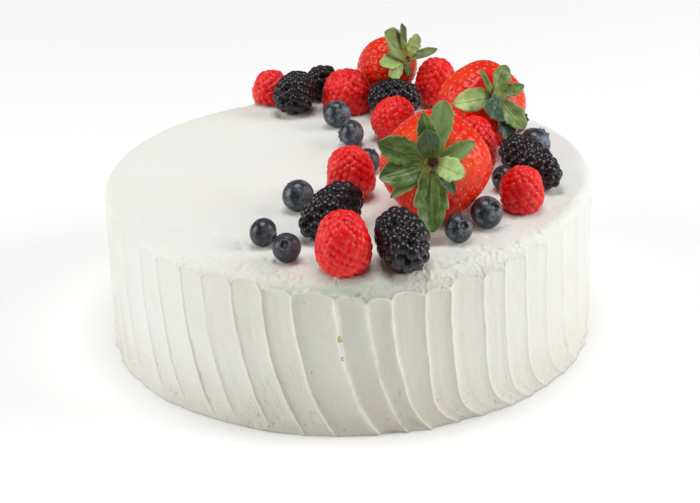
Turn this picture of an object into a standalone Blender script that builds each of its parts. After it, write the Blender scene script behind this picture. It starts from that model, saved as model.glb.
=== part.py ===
"""Berry chantilly cake, in metres with +Z up.

A round layer cake under one coat of whipped cream: smooth on top, and combed up the side by
the strokes of a spatula.  Strawberries with their calyxes, raspberries, brambles and
blueberries lie on top in a crescent.  The origin is the middle of the flat underside, and
the front is -Y.  Headings are compass angles in degrees: 0 points to the front, 90 to the
right (+X) and 180 to the back.
"""
import math
import random
from collections import namedtuple

import bmesh
import bpy
from mathutils import Matrix, Vector

MM = 0.001

# Driving dimensions of the cake.
CAKE_RADIUS = 105.0 * MM
CAKE_HEIGHT = 69.0 * MM
BASE_RADIUS = 103.4 * MM
OUT_OF_ROUND = 0.019          # the rim is a little three-cornered, as a share of its radius
TOP_SLOPE = 0.006             # the top rises to the right, in metres per metre
SHOULDER = 3.2 * MM           # rounding between the top and the side
CLEARANCE = 0.3 * MM

# The strokes of the spatula round the side.
STROKES = 48
STROKE_DEPTH = 1.2 * MM
STROKE_UNEVENNESS = 0.22
STROKE_SWEEP = math.radians(8.4)        # how far a ridge has turned to the right at the base
FRONT_RIDGES = (-74.0, -66.5, -57.0, -49.6, -41.3, -34.8, -26.8, -19.6, -12.9, -3.6, 3.1, 8.1, 15.8,
                21.9, 30.4, 36.3, 42.9, 50.7, 58.2, 66.7)       # headings at the top
COLUMNS_PER_STROKE = 4
ARCH_HEIGHT = 2.6 * MM        # how much lower a stroke starts at its ridges than in its middle
FADE_LENGTH = 3.0 * MM
SIDE_ROWS = (0.045, 0.085, 0.14, 0.27, 0.45, 0.63, 0.80, 0.92, 1.0)

Berry = namedtuple("Berry", "x y radius length heading lift turn raised")
Thimble = namedtuple("Thimble", Berry._fields + ("foot",))

# Where each fruit lies, in millimetres and degrees: the place of its widest part in plan, its
# greatest radius, its length, the heading and lift of its axis, its turn about that axis, and
# how far what it leans on holds it above the cream.  A thimble's foot is the angle below its
# widest part at which it ends.
STRAWBERRIES = (
    Berry(20.9, 92.8, 14.0, 32.5, 48.0, 26.0, 0.0, 2.4),
    Berry(59.5, 28.5, 20.0, 42.0, 25.0, 32.0, 0.0, 0.3),
    Berry(35.5, -45.5, 23.2, 47.0, -6.0, 26.0, 0.0, 0.0),
)
RASPBERRIES = (
    Thimble(-34.6, 92.0, 8.7, 17.0, 150.0, 84.0, 0.0, 0.0, -30.0),
    Thimble(0.5, 80.0, 11.6, 20.3, 0.0, 90.0, 15.0, 0.0, -38.0),
    Thimble(41.0, 82.2, 9.9, 21.0, 100.0, 84.0, 40.0, 1.2, -52.0),
    Thimble(20.0, 42.5, 9.8, 18.2, 40.0, 66.0, 70.0, 0.0, -52.0),
    Thimble(1.5, -21.5, 10.4, 21.5, -130.0, 78.0, 20.0, 0.0, -46.0),
    Thimble(-2.5, -95.0, 11.5, 25.0, -60.0, 87.0, 50.0, 0.0, -56.0),
    Thimble(71.0, -41.0, 9.4, 19.0, 90.0, 87.0, 80.0, 0.0, -52.0),
    Thimble(53.9, 2.6, 9.8, 25.0, 170.0, 84.0, 10.0, 0.0, -46.0),
)
BRAMBLES = (
    Berry(-22.7, 80.1, 9.7, 20.5, -35.0, -12.0, 0.0, 0.0),
    Berry(-11.4, 96.6, 7.8, 17.0, 150.0, 10.0, 20.0, 0.0),
    Berry(20.2, 69.2, 9.3, 24.0, 80.0, 0.0, 40.0, 0.0),
    Berry(-6.0, -56.0, 9.9, 32.0, -40.0, -9.0, 60.0, 0.0),
    Berry(20.3, -90.0, 10.9, 30.0, 14.0, -12.0, 80.0, 0.0),
    Berry(75.5, -12.0, 8.8, 32.0, 42.0, -16.0, 10.0, 0.4),
)
BLUEBERRIES = (
    Berry(-4.2, 58.8, 6.3, 11.4, 180.0, 10.0, 0.0, 0.0),
    Berry(1.9, 35.8, 6.1, 11.2, -80.0, -12.0, 10.0, 0.0),
    Berry(8.5, 4.5, 5.6, 10.4, 150.0, 30.0, 20.0, 0.0),
    Berry(-20.8, -33.9, 6.8, 12.4, -150.0, 15.0, 30.0, 0.0),
    Berry(-34.5, -68.3, 5.9, 10.8, 58.0, -14.0, 40.0, 0.0),
    Berry(-24.9, -84.1, 6.0, 11.2, -8.0, 36.0, 50.0, 0.0),
    Berry(43.5, -70.2, 6.1, 11.4, 25.0, 30.0, 60.0, 0.0),
    Berry(55.5, -56.9, 6.7, 12.6, 40.0, 40.0, 70.0, 0.0),
    Berry(81.0, 16.0, 6.9, 12.8, 120.0, 40.0, 80.0, 0.0),
    Berry(65.3, -19.6, 5.6, 10.4, -40.0, 20.0, 90.0, 0.0),
    Berry(75.0, 46.0, 5.8, 10.6, 62.0, 20.0, 15.0, 0.0),
)

# Leaves of each calyx, in millimetres and degrees: direction round the axis, length, width,
# and how steeply the leaf rises from the fruit at its root and at its tip.
Leaf = namedtuple("Leaf", "around length width root_rise tip_rise")
CALYXES = (
    (
        Leaf(45.0, 10.0, 6.5, 20.0, 50.0), Leaf(95.0, 14.0, 5.5, 42.0, 62.0),
        Leaf(190.0, 7.0, 5.0, 15.0, 30.0), Leaf(228.0, 10.0, 5.5, 10.0, 15.0),
        Leaf(268.0, 17.0, 6.5, 8.0, 18.0), Leaf(306.0, 14.5, 7.0, 22.0, 20.0),
        Leaf(340.0, 16.0, 5.0, 30.0, 52.0),
    ),
    (
        Leaf(17.0, 10.0, 7.5, 15.0, 20.0), Leaf(80.0, 10.0, 6.5, 10.0, 20.0),
        Leaf(158.0, 14.5, 8.5, 8.0, 0.0), Leaf(208.0, 12.5, 7.0, 35.0, 60.0),
        Leaf(278.0, 19.8, 9.0, 12.0, 5.0), Leaf(328.0, 15.0, 5.0, 35.0, 60.0),
    ),
    (
        Leaf(10.0, 23.0, 10.0, 10.0, 15.0), Leaf(70.0, 15.5, 7.5, 12.0, 25.0),
        Leaf(112.0, 12.5, 8.0, 32.0, 45.0), Leaf(177.0, 25.0, 12.0, 12.0, 0.0),
        Leaf(240.0, 21.0, 12.0, 20.0, 10.0), Leaf(289.0, 20.6, 10.5, 8.0, 20.0),
        Leaf(336.0, 19.0, 7.5, 38.0, 45.0),
    ),
)
LEAF_THICKNESS = 0.8 * MM
WIDEST_SHARE = 0.66           # how far up a strawberry, from its tip, it is widest
CROWN_SHARE = 0.955           # and where its shoulder turns in to the calyx
HUB_RADIUS = 3.2 * MM

CREAM = (0.90, 0.89, 0.86)
STRAWBERRY_RED = (0.80, 0.045, 0.02)
LEAF_GREEN = (0.10, 0.26, 0.05)
RASPBERRY_RED = (0.72, 0.03, 0.045)
BRAMBLE_BLACK = (0.015, 0.012, 0.02)
BLUEBERRY_BLUE = (0.045, 0.06, 0.12)


def clear_scene():
    for item in list(bpy.data.objects):
        bpy.data.objects.remove(item, do_unlink=True)


def make_material(name, color, roughness):
    material = bpy.data.materials.new(name)
    material.use_nodes = True
    shader = material.node_tree.nodes["Principled BSDF"]
    shader.inputs["Base Color"].default_value = (*color, 1.0)
    shader.inputs["Roughness"].default_value = roughness
    shader.inputs["Metallic"].default_value = 0.0
    return material


def add_object(name, skin, material, smooth_angle=math.radians(50.0)):
    """Turn a bmesh skin into a named object, shaded smooth."""
    mesh = bpy.data.meshes.new(name)
    skin.normal_update()
    skin.to_mesh(mesh)
    skin.free()
    mesh.materials.append(material)
    mesh.shade_smooth()
    mesh.set_sharp_from_angle(angle=smooth_angle)
    item = bpy.data.objects.new(name, mesh)
    bpy.context.scene.collection.objects.link(item)
    return item


def ease(value):
    """Rise smoothly from 0 to 1 as value does."""
    value = min(max(value, 0.0), 1.0)
    return value * value * (3.0 - 2.0 * value)


def band(skin, lower, upper, studded_row=None):
    """Join two rings with triangles; on a studded row each raised point heads a small pyramid."""
    count = len(lower)
    for k in range(count):
        after = (k + 1) % count
        a, b, c, d = lower[k], lower[after], upper[after], upper[k]
        if studded_row is not None and (studded_row + k) % 2 == 0:
            skin.faces.new((a, b, d))
            skin.faces.new((b, c, d))
        else:
            skin.faces.new((a, b, c))
            skin.faces.new((a, c, d))


def turned_skin(rings, first_pole=None, last_pole=None, studded=False):
    """Close a stack of rings: each is joined to the next, and the ends to a pole or a face."""
    skin = bmesh.new()
    rows = [[skin.verts.new(point) for point in ring] for ring in rings]
    for index in range(len(rows) - 1):
        band(skin, rows[index], rows[index + 1], index if studded else None)
    for ring, pole, flip in ((rows[0], first_pole, True), (rows[-1], last_pole, False)):
        if pole is None:
            skin.faces.new(list(reversed(ring)) if flip else ring)
            continue
        tip = skin.verts.new(pole)
        for k, corner in enumerate(ring):
            following = ring[(k + 1) % len(ring)]
            skin.faces.new((following, corner, tip) if flip else (corner, following, tip))
    return skin


# ---------------------------------------------------------------- the frosted cake

def top_height(x):
    return CAKE_HEIGHT + TOP_SLOPE * x


def rim_radius(heading):
    return CAKE_RADIUS * (1.0 + OUT_OF_ROUND * math.cos(3.0 * heading))


def plan_point(radius, heading, z):
    return Vector((radius * math.sin(heading), -radius * math.cos(heading), z))


def stroke_list():
    """Start heading and width of each stroke: listed across the front, drawn unevenly elsewhere."""
    ridges = [math.radians(heading) for heading in FRONT_RIDGES]
    behind = STROKES - len(ridges) + 1
    draw = random.Random(7)
    shares = [draw.uniform(1.0 - STROKE_UNEVENNESS, 1.0 + STROKE_UNEVENNESS) for _ in range(behind)]
    unit = (math.tau - ridges[-1] + ridges[0]) / sum(shares)
    for share in shares[:-1]:
        ridges.append(ridges[-1] + share * unit)
    ends = ridges[1:] + [ridges[0] + math.tau]
    return [(start, end - start) for start, end in zip(ridges, ends)]


def stroke_start(heading):
    """How far below the top a stroke begins: at the right front it cuts into the shoulder."""
    right_front = math.exp(-((math.degrees(heading) - 50.0) / 28.0) ** 2)
    return SHOULDER * (1.25 - 0.9 * right_front)


def swept(heading, down):
    """Heading of a ridge lower down: it sweeps right, and only near the base at the right front."""
    right_front = math.exp(-((math.degrees(math.remainder(heading, math.tau)) - 38.0) / 22.0) ** 2)
    return heading + STROKE_SWEEP * down ** (2.5 + 3.0 * right_front)


def side_point(start, width, across, down):
    """A point of the side, across 0 to 1 over one stroke and down 0 to 1 from top to base."""
    heading = swept(start + across * width, down)
    turn = math.remainder(heading, math.tau)
    from_middle = (2.0 * across - 1.0) ** 2
    depth_below = down * CAKE_HEIGHT - stroke_start(turn) - ARCH_HEIGHT * from_middle
    scoop = STROKE_DEPTH * (1.0 - from_middle) * ease(0.5 + depth_below / FADE_LENGTH)
    outer = rim_radius(turn) + (BASE_RADIUS - rim_radius(turn)) * down ** 1.2
    ridge = 0.3 * STROKE_DEPTH * ease(depth_below / FADE_LENGTH + 1.0)
    radius = outer - scoop + ridge * from_middle
    x = radius * math.sin(heading)
    return plan_point(radius, heading, (1.0 - down) * top_height(x))


def shoulder_point(start, width, across, inset, drop):
    heading = start + across * width
    radius = rim_radius(heading) - inset
    return plan_point(radius, heading, top_height(radius * math.sin(heading)) - drop)


def frosted_cake(material):
    strokes = stroke_list()
    columns = [(start, width, step / COLUMNS_PER_STROKE)
               for start, width in strokes for step in range(COLUMNS_PER_STROKE)]
    rings = [[side_point(*column, down) for column in columns] for down in reversed(SIDE_ROWS)]
    for inset, drop in ((0.3 * SHOULDER, 0.3 * SHOULDER), (SHOULDER, 0.0)):
        rings.append([shoulder_point(*column, inset, drop) for column in columns])
    return add_object("cake", turned_skin(rings), material, math.radians(75.0))


# ---------------------------------------------------------------- fruit

def axis_vector(heading, lift):
    """Unit vector at a heading and a lift above the horizontal, both in degrees."""
    turn, rise = math.radians(heading), math.radians(lift)
    return Vector((math.cos(rise) * math.sin(turn), -math.cos(rise) * math.cos(turn), math.sin(rise)))


def berry_turn(berry):
    """Rotation that takes a fruit's own +Z axis to its heading and lift."""
    aim = axis_vector(berry.heading, berry.lift).to_track_quat("Z", "Y")
    return aim.to_matrix() @ Matrix.Rotation(math.radians(berry.turn), 3, "Z")


def seat(item, berry):
    """Turn a fruit and set its lowest point just clear of the cream, or higher if it leans."""
    turn = berry_turn(berry)
    place = Vector((berry.x * MM, berry.y * MM, 0.0))
    item.rotation_euler = turn.to_euler()
    depths = []
    for corner in item.data.vertices:
        world = turn @ corner.co + place
        depths.append(world.z - top_height(world.x))
    place.z = CLEARANCE + berry.raised * MM - min(depths)
    item.location = place
    return item


def ring_points(radius, height, count, phase=0.0):
    return [Vector((radius * math.cos(math.tau * (k + phase) / count),
                    radius * math.sin(math.tau * (k + phase) / count), height))
            for k in range(count)]


def studded_berry(name, profile, cells, stud, material):
    """A fruit of drupelets: every second point of each row stands out by the stud height."""
    rings = []
    for row, (radius, height, normal) in enumerate(profile):
        ring = ring_points(radius, height, 2 * cells)
        for k, point in enumerate(ring):
            side = 0.5 * stud if (row + k) % 2 == 0 else -0.5 * stud
            outward = Vector((point.x, point.y, 0.0)).normalized()
            point += side * (outward * normal[0] + Vector((0.0, 0.0, normal[1])))
        rings.append(ring)
    first = Vector((0.0, 0.0, profile[0][1] + 0.6 * stud))
    last = Vector((0.0, 0.0, profile[-1][1] + 0.9 * stud))
    return add_object(name, turned_skin(rings, first, last, studded=True), material)


def rounded_profile(radius, below, above, start, end, fullness, rows):
    """Rows of a turned body, widest at height 0, from a low angle to a high one in degrees."""
    profile = []
    for row in range(rows):
        angle = math.radians(start + (end - start) * row / (rows - 1))
        height = (above if angle > 0.0 else below) * math.sin(angle)
        normal = Vector((math.cos(angle), math.sin(angle))).normalized()
        profile.append((radius * math.cos(angle) ** fullness, height, normal))
    return profile


def raspberry(name, berry, material):
    """A thimble of drupelets, widest low down, standing on its open end."""
    stud = 1.3 * MM
    radius = berry.radius * MM - 0.5 * stud
    below, above = 0.36 * berry.length * MM, 0.64 * berry.length * MM
    profile = rounded_profile(radius, below, above, berry.foot, 76.0, 0.72, 9)
    return seat(studded_berry(name, profile, 11, stud, material), berry)


def bramble(name, berry, material):
    """An oval of larger drupelets that narrows towards its tip."""
    stud = 1.9 * MM
    radius = berry.radius * MM - 0.5 * stud
    below, above = 0.44 * berry.length * MM, 0.56 * berry.length * MM
    profile = rounded_profile(radius, below, above, -64.0, 72.0, 0.85, 8)
    return seat(studded_berry(name, profile, 9, stud, material), berry)


def blueberry(name, berry, material):
    """A flattened ball with a small raised crown round a dimple at its upper pole."""
    radius, half = berry.radius * MM, 0.5 * berry.length * MM
    rings = []
    for angle in (-62.0, -32.0, 0.0, 32.0):
        spot = math.radians(angle)
        rings.append(ring_points(radius * math.cos(spot), half * math.sin(spot), 12))
    rings.append(ring_points(0.52 * radius, 0.86 * half, 12))
    rings.append(ring_points(0.36 * radius, 1.05 * half, 12))
    rings.append(ring_points(0.25 * radius, 0.84 * half, 12))
    skin = turned_skin(rings, Vector((0.0, 0.0, -half)), Vector((0.0, 0.0, 0.78 * half)))
    return seat(add_object(name, skin, material), berry)


def strawberry_radius(share):
    """Radius of a strawberry, as a share of its greatest, from its tip (0) to its calyx (1)."""
    if share < WIDEST_SHARE:
        return math.sin(0.5 * math.pi * share / WIDEST_SHARE) ** 0.72
    return math.cos(0.5 * math.pi * (share - WIDEST_SHARE) / (1.0 - WIDEST_SHARE)) ** 0.42


def strawberry(name, berry, lobes, material):
    """A blunt cone with round shoulders and a few soft lobes; its calyx end is +Z."""
    radius, length = berry.radius * MM, berry.length * MM
    shares = (0.03, 0.11, 0.23, 0.37, 0.52, WIDEST_SHARE, 0.78, 0.88, CROWN_SHARE)
    columns = 22
    rings = []
    for share in shares:
        ring = []
        for k in range(columns):
            turn = math.tau * k / columns
            swell = 1.0 + 0.035 * math.cos(lobes * turn) * math.sin(math.pi * share)
            reach = radius * strawberry_radius(share) * swell / 1.035
            ring.append(Vector((reach * math.cos(turn), reach * math.sin(turn), (share - WIDEST_SHARE) * length)))
        rings.append(ring)
    tip = Vector((0.0, 0.0, -WIDEST_SHARE * length))
    crown = Vector((0.0, 0.0, (CROWN_SHARE - 0.01 - WIDEST_SHARE) * length))
    return seat(add_object(name, turned_skin(rings, tip, crown), material), berry)


def leaf_row(leaf, share):
    """Middle of a leaf at a share of its length, with the leaf's half width there."""
    reach, rise, steps = HUB_RADIUS, 0.0, 8
    for step in range(round(share * steps)):
        middle = (step + 0.5) / steps
        slope = math.radians(leaf.root_rise + (leaf.tip_rise - leaf.root_rise) * middle)
        reach += leaf.length * MM / steps * math.cos(slope)
        rise += leaf.length * MM / steps * math.sin(slope)
    half = 0.5 * leaf.width * MM * math.sin(math.pi * min(0.16 + 0.84 * share, 1.0)) ** 0.8
    return reach, rise, half


def half_gaps(leaves, index):
    """Half the angle from a leaf to the one before it, and to the one after it."""
    here = leaves[index].around
    before = (here - leaves[index - 1].around) % 360.0
    after = (leaves[(index + 1) % len(leaves)].around - here) % 360.0
    return math.radians(0.5 * before), math.radians(0.5 * after)


def calyx(name, leaves, berry, fruit, material):
    """A star of leaves on a small hub: one thin wavy sheet, then given its thickness."""
    base = (CROWN_SHARE - WIDEST_SHARE) * berry.length * MM + LEAF_THICKNESS + 1.5 * CLEARANCE
    skin = bmesh.new()
    middle = skin.verts.new((0.0, 0.0, base + 0.4 * MM))
    roots, gaps = [], []
    for index, leaf in enumerate(leaves):
        turn = math.radians(leaf.around)
        for angle, ring in ((turn, roots), (turn + half_gaps(leaves, index)[1], gaps)):
            ring.append(skin.verts.new((HUB_RADIUS * math.sin(angle), HUB_RADIUS * math.cos(angle), base)))
    for index, leaf in enumerate(leaves):
        turn = math.radians(leaf.around)
        along = Vector((math.sin(turn), math.cos(turn), 0.0))
        side = Vector((math.cos(turn), -math.sin(turn), 0.0))
        last = (gaps[index - 1], roots[index], gaps[index])
        skin.faces.new((middle, last[1], last[0]))
        skin.faces.new((middle, last[2], last[1]))
        for share in (0.25, 0.5, 0.75):
            reach, rise, half = leaf_row(leaf, share)
            before, after = (min(half, reach * math.sin(room) - LEAF_THICKNESS)
                             for room in half_gaps(leaves, index))
            wave = 0.15 * half * math.cos(math.tau * share)
            spine = reach * along + Vector((0.0, 0.0, base + rise))
            row = (skin.verts.new(spine - before * side + Vector((0.0, 0.0, 0.25 * before + wave))),
                   skin.verts.new(spine),
                   skin.verts.new(spine + after * side + Vector((0.0, 0.0, 0.25 * after - wave))))
            for inner, outer in ((0, 1), (1, 2)):
                skin.faces.new((last[inner], last[outer], row[outer]))
                skin.faces.new((last[inner], row[outer], row[inner]))
            last = row
        reach, rise, _ = leaf_row(leaf, 1.0)
        tip = skin.verts.new(reach * along + Vector((0.0, 0.0, base + rise)))
        skin.faces.new((last[0], last[1], tip))
        skin.faces.new((last[1], last[2], tip))
    star = add_object(name, skin, material)
    thickness = star.modifiers.new("thickness", "SOLIDIFY")
    thickness.thickness = LEAF_THICKNESS
    thickness.offset = -1.0
    star.location = fruit.location
    star.rotation_euler = fruit.rotation_euler
    return star


def build_fruit():
    strawberry_red = make_material("strawberry", STRAWBERRY_RED, 0.25)
    leaf_green = make_material("leaf", LEAF_GREEN, 0.55)
    raspberry_red = make_material("raspberry", RASPBERRY_RED, 0.4)
    bramble_black = make_material("bramble", BRAMBLE_BLACK, 0.25)
    blueberry_blue = make_material("blueberry", BLUEBERRY_BLUE, 0.5)
    for number, (berry, leaves, lobes) in enumerate(zip(STRAWBERRIES, CALYXES, (3, 5, 4)), 1):
        fruit = strawberry(f"strawberry_{number}", berry, lobes, strawberry_red)
        calyx(f"calyx_{number}", leaves, berry, fruit, leaf_green)
    for number, berry in enumerate(RASPBERRIES, 1):
        raspberry(f"raspberry_{number}", berry, raspberry_red)
    for number, berry in enumerate(BRAMBLES, 1):
        bramble(f"bramble_{number}", berry, bramble_black)
    for number, berry in enumerate(BLUEBERRIES, 1):
        blueberry(f"blueberry_{number}", berry, blueberry_blue)


def main():
    clear_scene()
    frosted_cake(make_material("cream", CREAM, 0.6))
    build_fruit()


main()
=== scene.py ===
import random
from collections import namedtuple
from math import cos, floor, hypot, log, pi, radians, remainder, sin, sqrt, tau

import bpy
import numpy as np
from mathutils import Matrix, Vector, noise


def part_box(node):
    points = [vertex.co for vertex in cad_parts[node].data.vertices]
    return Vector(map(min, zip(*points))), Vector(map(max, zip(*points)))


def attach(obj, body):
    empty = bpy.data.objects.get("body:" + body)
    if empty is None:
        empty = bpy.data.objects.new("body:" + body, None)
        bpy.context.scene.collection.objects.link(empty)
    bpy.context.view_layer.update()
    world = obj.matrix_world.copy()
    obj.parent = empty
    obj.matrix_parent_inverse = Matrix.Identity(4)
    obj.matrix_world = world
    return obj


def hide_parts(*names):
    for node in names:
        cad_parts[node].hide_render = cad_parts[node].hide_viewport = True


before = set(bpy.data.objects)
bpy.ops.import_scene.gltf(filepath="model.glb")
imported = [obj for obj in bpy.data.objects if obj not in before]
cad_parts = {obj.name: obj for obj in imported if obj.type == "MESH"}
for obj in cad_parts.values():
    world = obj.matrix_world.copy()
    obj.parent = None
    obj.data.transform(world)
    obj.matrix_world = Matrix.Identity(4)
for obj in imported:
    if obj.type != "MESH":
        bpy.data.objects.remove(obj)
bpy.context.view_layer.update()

# Berry chantilly cake: whipped cream, combed up the side, and a crescent of berries on top.
# Metres, +Z up, the front is -Y.  Headings are compass angles: 0 to the front, 90 to the right.

MM = 0.001

# The cake's own rule, as in its solid.
CAKE_RADIUS = 105 * MM
CAKE_HEIGHT = 69 * MM
BASE_RADIUS = 103.4 * MM
OUT_OF_ROUND = 0.019
TOP_SLOPE = 0.006
STROKES = 48
UNEVENNESS = 0.22
SWEEP = radians(8.7)
FRONT_RIDGES = (-74, -66.5, -57, -49.6, -41.3, -34.8, -26.8, -19.6, -12.6, -3.4, 3.1, 8.3, 15.9,
                21.9, 30.5, 36.3, 42.9, 50.7, 58.2, 66.7)
# How far below the top each of those strokes starts, in millimetres.
FRONT_LIPS = (4.5, 3.5, 4.2, 3.4, 3.6, 2.8, 2.7, 4.3, 4.6, 6.4, 8.5, 6.2, 7.4, 4.6, 5.9, 3.4, 3.2,
              3, 3.4)
ARCH_HEIGHT = 2.6 * MM
ROUNDING = 5 * MM  # the visible cream's rim is a little softer than the solid's
INSIDE = 0.8 * MM  # how far the visible cream is drawn in, for the relief it gets
PROUDEST = 1 * MM  # and how far that relief may stand out from there

# Millimetres and degrees.  The trait is how much less pale a strawberry's shoulder is, where below
# its widest part a raspberry ends, a bramble's drupelet size, or a blueberry's loss of bloom.
Fruit = namedtuple("Fruit", "radius length heading lift turn trait", defaults=(0,))
STRAWBERRIES = [Fruit(*row) for row in (
    (14, 32.5, 48, 26, 0), (20, 42, 25, 32, 0, 0.07), (23.2, 47, -6, 26, 0),
)]
RASPBERRIES = [Fruit(*row) for row in (
    (8.7, 17, 150, 84, 0, -30), (11.6, 20.3, 0, 90, 15, -38), (9.9, 21, 100, 84, 40, -52),
    (9.8, 18.2, 40, 66, 70, -52), (10.4, 21.5, -130, 78, 20, -46), (11.5, 25, -60, 87, 50, -56),
    (9.4, 19, 90, 87, 80, -52), (9.8, 25, 170, 84, 10, -46),
)]
BRAMBLES = [Fruit(*row) for row in (
    (9.7, 20.5, -35, -12, 0, 3.9), (7.8, 17, 150, 10, 20, 3.7), (9.3, 24, 80, 0, 40, 4),
    (9.9, 32, -40, -9, 60, 4.5), (10.9, 30, 14, -12, 80, 4.6), (8.8, 32, 42, -16, 10, 4.1),
)]
BLUEBERRIES = [Fruit(*row) for row in (
    (6.3, 11.4, 180, 10, 0), (6.1, 11.2, -80, -12, 10), (5.6, 10.4, 150, 30, 20, 0.7),
    (6.8, 12.4, -150, 15, 30), (5.9, 10.8, 58, -14, 40, 0.65), (6, 11.2, -8, 36, 50, 0.65),
    (6.1, 11.4, 25, 30, 60, 0.1), (6.7, 12.6, 40, 40, 70), (6.9, 12.8, 120, 40, 80),
    (5.6, 10.4, -40, 20, 90, 0.8), (5.8, 10.6, 62, 20, 15, 0.8),
)]
WIDEST_SHARE = 0.66
CROWN_SHARE = 0.955

# Millimetres and degrees.  A leaf is widest at such a share of its length, has so many teeth a
# side, is blue-green where pale is below 0 and darker with painted shade far below it, folds
# along its midrib, and starts so far from the axis: one that starts below 0 lies over the hub from
# its other side.
Leaf = namedtuple("Leaf", "around length width root_rise tip_rise widest teeth pale fold twist start",
                  defaults=(1.6,))
CALYXES = [[Leaf(*row) for row in rows] for rows in (
    (
        (44, 9.5, 7, 20, 30, 0.55, 1, 0.8, 0.5, 0), (88, 13, 4.4, 20, 30, 0.5, 0, 0.25, 0.5, 0.5),
        (216, 5.5, 4, 10, 10, 0.6, 1, -0.3, 0.4, 0), (256, 14, 8, 10, 5, 0.6, 2, 0.85, 0.3, 0.2),
        (283, 18, 8, 8, 10, 0.55, 2, 0.75, 0.4, -0.3), (312, 19, 11.5, 22, 16, 0.6, 1, 0.45, 0.4, 0.3),
        (341, 18, 4.6, 30, 40, 0.55, 0, 0.15, 0.7, 0.3),
    ),
    (
        (24, 11, 9, 15, 30, 0.6, 1, 0.45, 0.4, -0.2), (80, 10, 6, 10, 20, 0.55, 2, 0.1, 0.4, 0.5),
        # The leaves at 172 and 222 lie in shadow: their pale far below 0 paints that shade.
        (157, 15, 9.5, 10, 0, 0.58, 1, 0.4, 0.3, -0.3), (172, 19, 8.5, 2, -12, 0.6, 1, -0.9, 0.3, 0),
        (272, 19.5, 10, 12, 5, 0.55, 0, 0.95, 0.25, 0.2), (312, 17, 4.4, 34, 48, 0.5, 0, 0.1, 0.9, -0.5),
        (222, 13.5, 11.5, 14, 20, 0.8, 1, -0.8, 0.3, 0.1, -2),
    ),
    (
        (15, 22, 9.5, 9, 12, 0.68, 4, 0.5, 0.6, -0.25), (68, 16.5, 7.2, 14, 24, 0.55, 4, 0.4, 0.45, 0.3),
        (111, 13.5, 10, 30, 36, 0.47, 1, 1.1, 0.25, -0.2), (140, 12.5, 5.5, 14, 8, 0.6, 4, -0.5, 0.7, 0.6),
        (182, 25, 13.2, 12, 0, 0.52, 1, -0.05, 0.6, 0.2), (226, 19, 5.5, 10, 5, 0.5, 1, 0.6, 0.7, -0.4),
        (252, 19.5, 12.5, 20, 8, 0.56, 0, -0.2, 0.25, -0.3),
        (288, 20.5, 11.5, 10, 20, 0.55, 4, 0.2, 0.9, 0.35),
        (348, 18.5, 8, 24, 32, 0.55, 4, 0.1, 0.7, 0.5), (344, 13, 10.4, 66, 18, 0.62, 0, -0.35, 0.35, 0.3),
    ),
)]
OVER_HUB = 1.7 * MM
CALYX_RISE = 1.25 * MM  # of the leaves above the strawberry's crown


# --- helpers

def ease(value):
    """Rise smoothly from 0 to 1 as value does."""
    value = np.clip(value, 0, 1)
    return value * value * (3 - 2 * value)


def between(value, start, rise, end, fall):
    """1 between start and end, 0 outside, rising and falling over such widths."""
    return ease((value - start) / rise) * ease((end - value) / fall)


def hump(value, middle, width):
    """A smooth hump of height 1."""
    return np.exp(-((value - middle) / width) ** 2)


def noise_at(points, lumps, seed=0):
    """Smooth noise of about -1 to 1 at each point, with so many lumps per metre."""
    shift = Vector((seed, 1.7 * seed, -0.6 * seed))
    return np.array([noise.noise(Vector(point) * lumps + shift) for point in points])


def uneven(points, grains):
    """Noises added up, each with its strength, lumps per metre and seed."""
    return sum(strength * noise_at(points, lumps, seed) for strength, lumps, seed in grains)


def unit(vectors):
    return vectors / (np.linalg.norm(vectors, axis=1)[:, None] + 1e-12)


def spaced(start, end, count):
    return np.linspace(start, end, count, endpoint=False)


def around(reach, height, angles):
    """Points so far from the axis, so high and at such angles: numbers or matching arrays."""
    reach, height, angles = np.broadcast_arrays(reach, height, angles)
    return np.stack([reach * np.cos(angles), reach * np.sin(angles), height], -1)


def grid_faces(rows, columns, closed=True):
    """Quads between rows of points, each row closed on itself unless told otherwise."""
    return [(low + k, low + (k + 1) % columns, low + columns + (k + 1) % columns, low + columns + k)
            for low in range(0, (rows - 1) * columns, columns)
            for k in range(columns if closed else columns - 1)]


def fan(start, count, tip, outward=True):
    """Triangles from one closed ring of points to a single point."""
    sides = [(start + k, start + (k + 1) % count) for k in range(count)]
    return [(here, after, tip) if outward else (after, here, tip) for here, after in sides]


def close_ends(points, columns, bottom, top):
    """Points and faces of a skin of rings, closed by one point below and one above."""
    count = len(points)
    faces = grid_faces(count // columns, columns) + fan(0, columns, count, outward=False)
    faces += fan(count - columns, columns, count + 1)
    return np.vstack([np.array(points), bottom, top]), faces


def shifted(faces, offset):
    """The same faces for points that come after so many others."""
    return [tuple(offset + corner for corner in face) for face in faces]


def add_object(name, data):
    item = bpy.data.objects.new(name, data)
    bpy.context.scene.collection.objects.link(item)
    return item


def build_mesh(name, points, faces, materials, layers=None, face_material=None):
    """A smooth-shaded object from points and faces, with named numbers at its points."""
    mesh = bpy.data.meshes.new(name)
    mesh.from_pydata([tuple(point) for point in points], [], faces)
    for material in materials:
        mesh.materials.append(material)
    if face_material is not None:
        mesh.polygons.foreach_set("material_index", face_material)
    mesh.shade_smooth()
    for label, values in (layers or {}).items():
        values = np.asarray(values, np.float32)
        kind, key = ("FLOAT", "value") if values.ndim == 1 else ("FLOAT_VECTOR", "vector")
        mesh.attributes.new(label, kind, "POINT").data.foreach_set(key, values.ravel())
    mesh.update()
    return add_object(name, mesh)


def fit_out(piece, node):
    """Ride on the one body and stand for a node."""
    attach(piece, "root")
    if node:
        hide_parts(node)


def axis_turn(fruit):
    """Rotation that takes a fruit's own +Z axis to its heading and lift."""
    turn, rise = radians(fruit.heading), radians(fruit.lift)
    axis = Vector((cos(rise) * sin(turn), -cos(rise) * cos(turn), sin(rise)))
    return axis.to_track_quat("Z", "Y").to_matrix() @ Matrix.Rotation(radians(fruit.turn), 3, "Z")


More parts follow.
